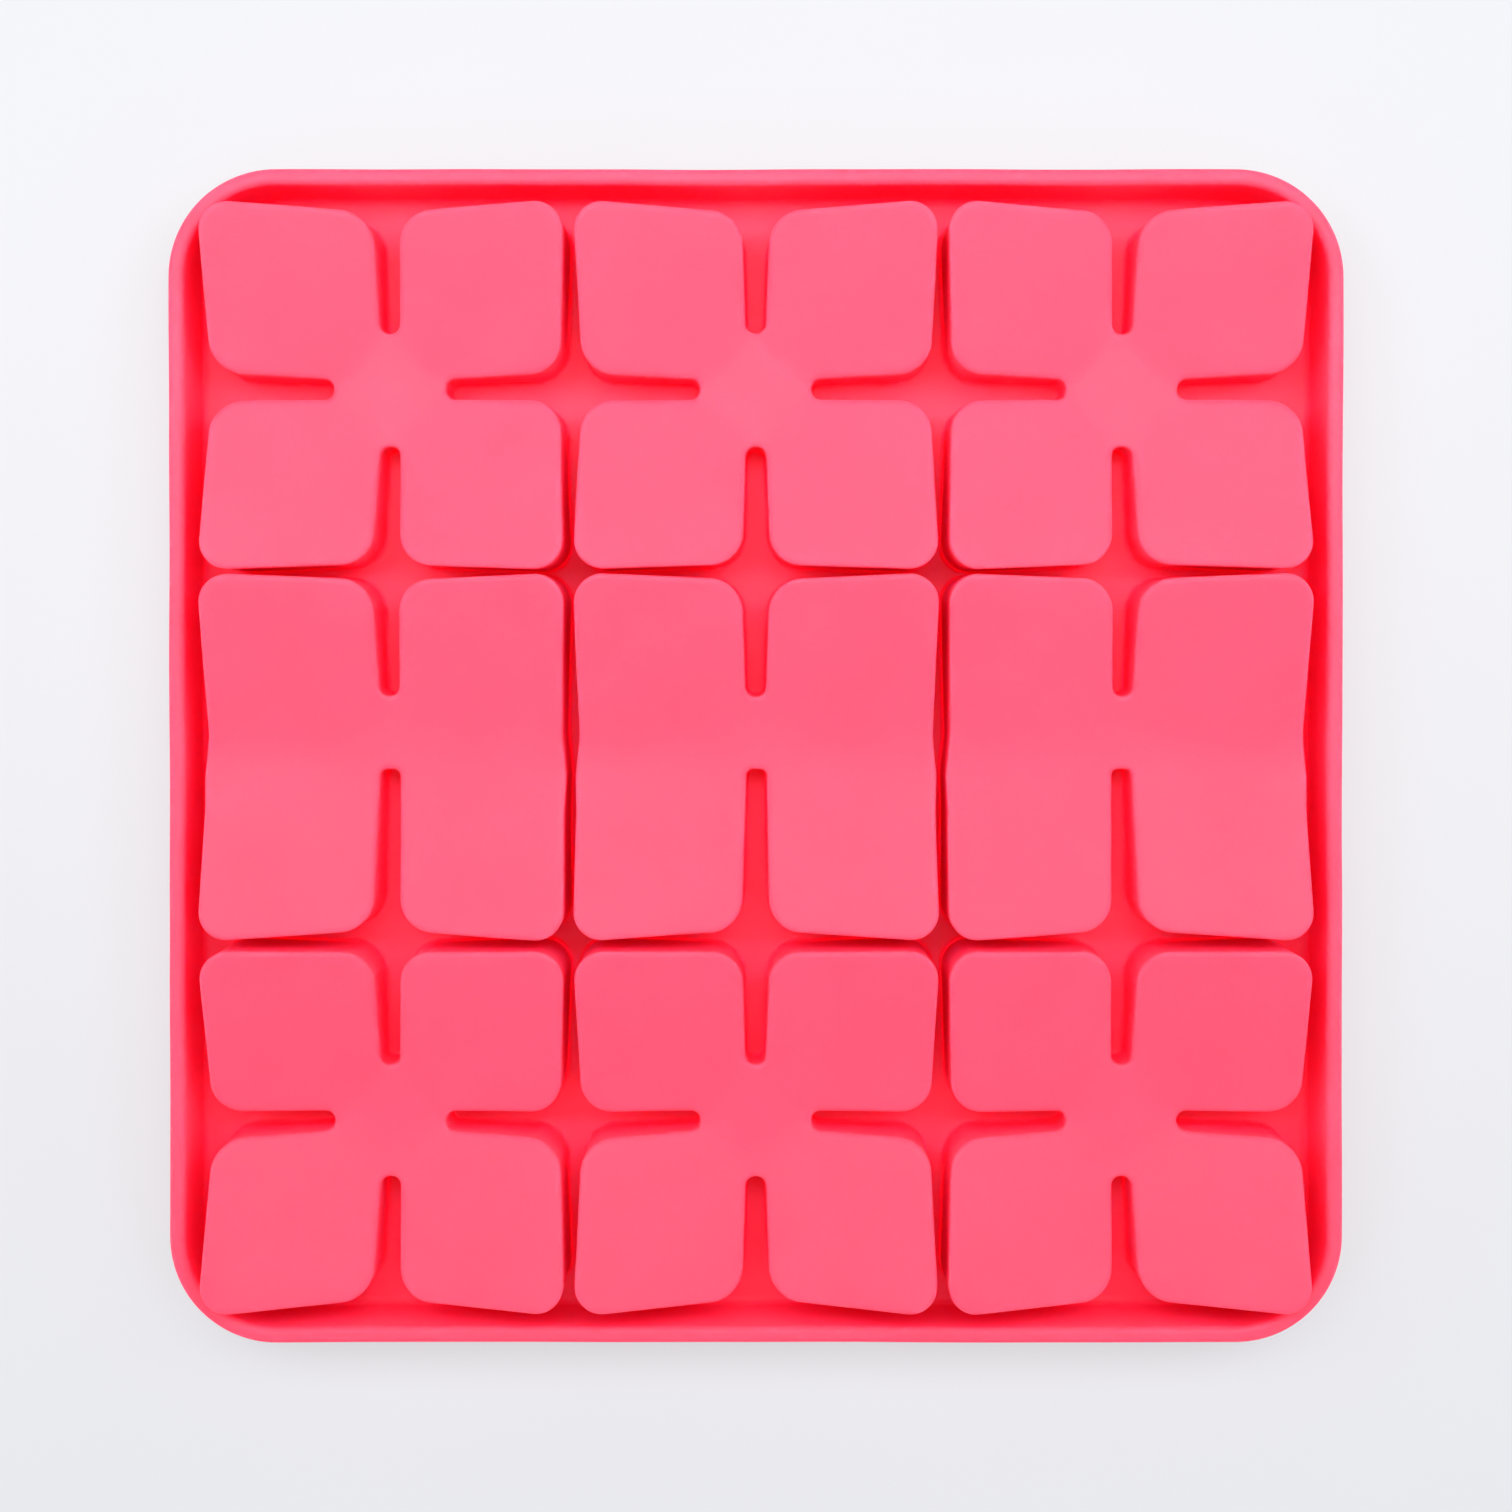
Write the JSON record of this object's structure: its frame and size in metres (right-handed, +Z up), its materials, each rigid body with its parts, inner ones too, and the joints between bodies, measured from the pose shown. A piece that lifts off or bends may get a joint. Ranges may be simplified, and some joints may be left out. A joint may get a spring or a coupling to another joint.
{
  "type": "silicone soap mould",
  "caption": "Square pink-red silicone soap mould lying mouth down: a standing rim round a grid of flower-shaped cups with dished tops, whose floors press in to free the soap.",
  "frame": {"origin": "middle of the square outline, on the surface that the mould lies on, at the cavity mouths", "axes": "+Z is up, from the cavity mouths to the closed ends of the cups; +X is to the right and +Y to the back, both along the sides of the square. The mould lies mouth down, so it is turned over about X to be filled."},
  "size_m": [0.22, 0.22, 0.0249],
  "materials": {
    "silicone_web": "smooth matte platinum silicone, slightly translucent, deep pink-red in the grooves",
    "silicone_rim": "smooth matte platinum silicone, slightly translucent",
    "silicone_wall": "smooth matte platinum silicone, slightly translucent",
    "silicone_floor": "smooth matte platinum silicone, slightly translucent"
  },
  "bodies": {
    "mould_body": {"deck_web": "silicone_web", "rim_skirt": "silicone_rim", "cup_wall_back_left": "silicone_wall", "cup_wall_back_centre": "silicone_wall", "cup_wall_back_right": "silicone_wall", "cup_wall_middle_left": "silicone_wall", "cup_wall_middle_centre": "silicone_wall", "cup_wall_middle_right": "silicone_wall", "cup_wall_front_left": "silicone_wall", "cup_wall_front_centre": "silicone_wall", "cup_wall_front_right": "silicone_wall"},
    "release_back_left": {"cup_floor_back_left": "silicone_floor"},
    "release_back_centre": {"cup_floor_back_centre": "silicone_floor"},
    "release_back_right": {"cup_floor_back_right": "silicone_floor"},
    "release_middle_left": {"cup_floor_middle_left": "silicone_floor"},
    "release_middle_centre": {"cup_floor_middle_centre": "silicone_floor"},
    "release_middle_right": {"cup_floor_middle_right": "silicone_floor"},
    "release_front_left": {"cup_floor_front_left": "silicone_floor"},
    "release_front_centre": {"cup_floor_front_centre": "silicone_floor"},
    "release_front_right": {"cup_floor_front_right": "silicone_floor"}
  },
  "joints": [
    {"name": "press_back_left", "type": "slide", "parent": "mould_body", "child": "release_back_left", "axis": [0, 0, -1], "range_m": [0, 0.005], "stiffness_N_per_m": 1500},
    {"name": "press_back_centre", "type": "slide", "parent": "mould_body", "child": "release_back_centre", "axis": [0, 0, -1], "range_m": [0, 0.005], "stiffness_N_per_m": 1500},
    {"name": "press_back_right", "type": "slide", "parent": "mould_body", "child": "release_back_right", "axis": [0, 0, -1], "range_m": [0, 0.005], "stiffness_N_per_m": 1500},
    {"name": "press_middle_left", "type": "slide", "parent": "mould_body", "child": "release_middle_left", "axis": [0, 0, -1], "range_m": [0, 0.005], "stiffness_N_per_m": 1500},
    {"name": "press_middle_centre", "type": "slide", "parent": "mould_body", "child": "release_middle_centre", "axis": [0, 0, -1], "range_m": [0, 0.005], "stiffness_N_per_m": 1500},
    {"name": "press_middle_right", "type": "slide", "parent": "mould_body", "child": "release_middle_right", "axis": [0, 0, -1], "range_m": [0, 0.005], "stiffness_N_per_m": 1500},
    {"name": "press_front_left", "type": "slide", "parent": "mould_body", "child": "release_front_left", "axis": [0, 0, -1], "range_m": [0, 0.005], "stiffness_N_per_m": 1500},
    {"name": "press_front_centre", "type": "slide", "parent": "mould_body", "child": "release_front_centre", "axis": [0, 0, -1], "range_m": [0, 0.005], "stiffness_N_per_m": 1500},
    {"name": "press_front_right", "type": "slide", "parent": "mould_body", "child": "release_front_right", "axis": [0, 0, -1], "range_m": [0, 0.005], "stiffness_N_per_m": 1500}
  ]
}
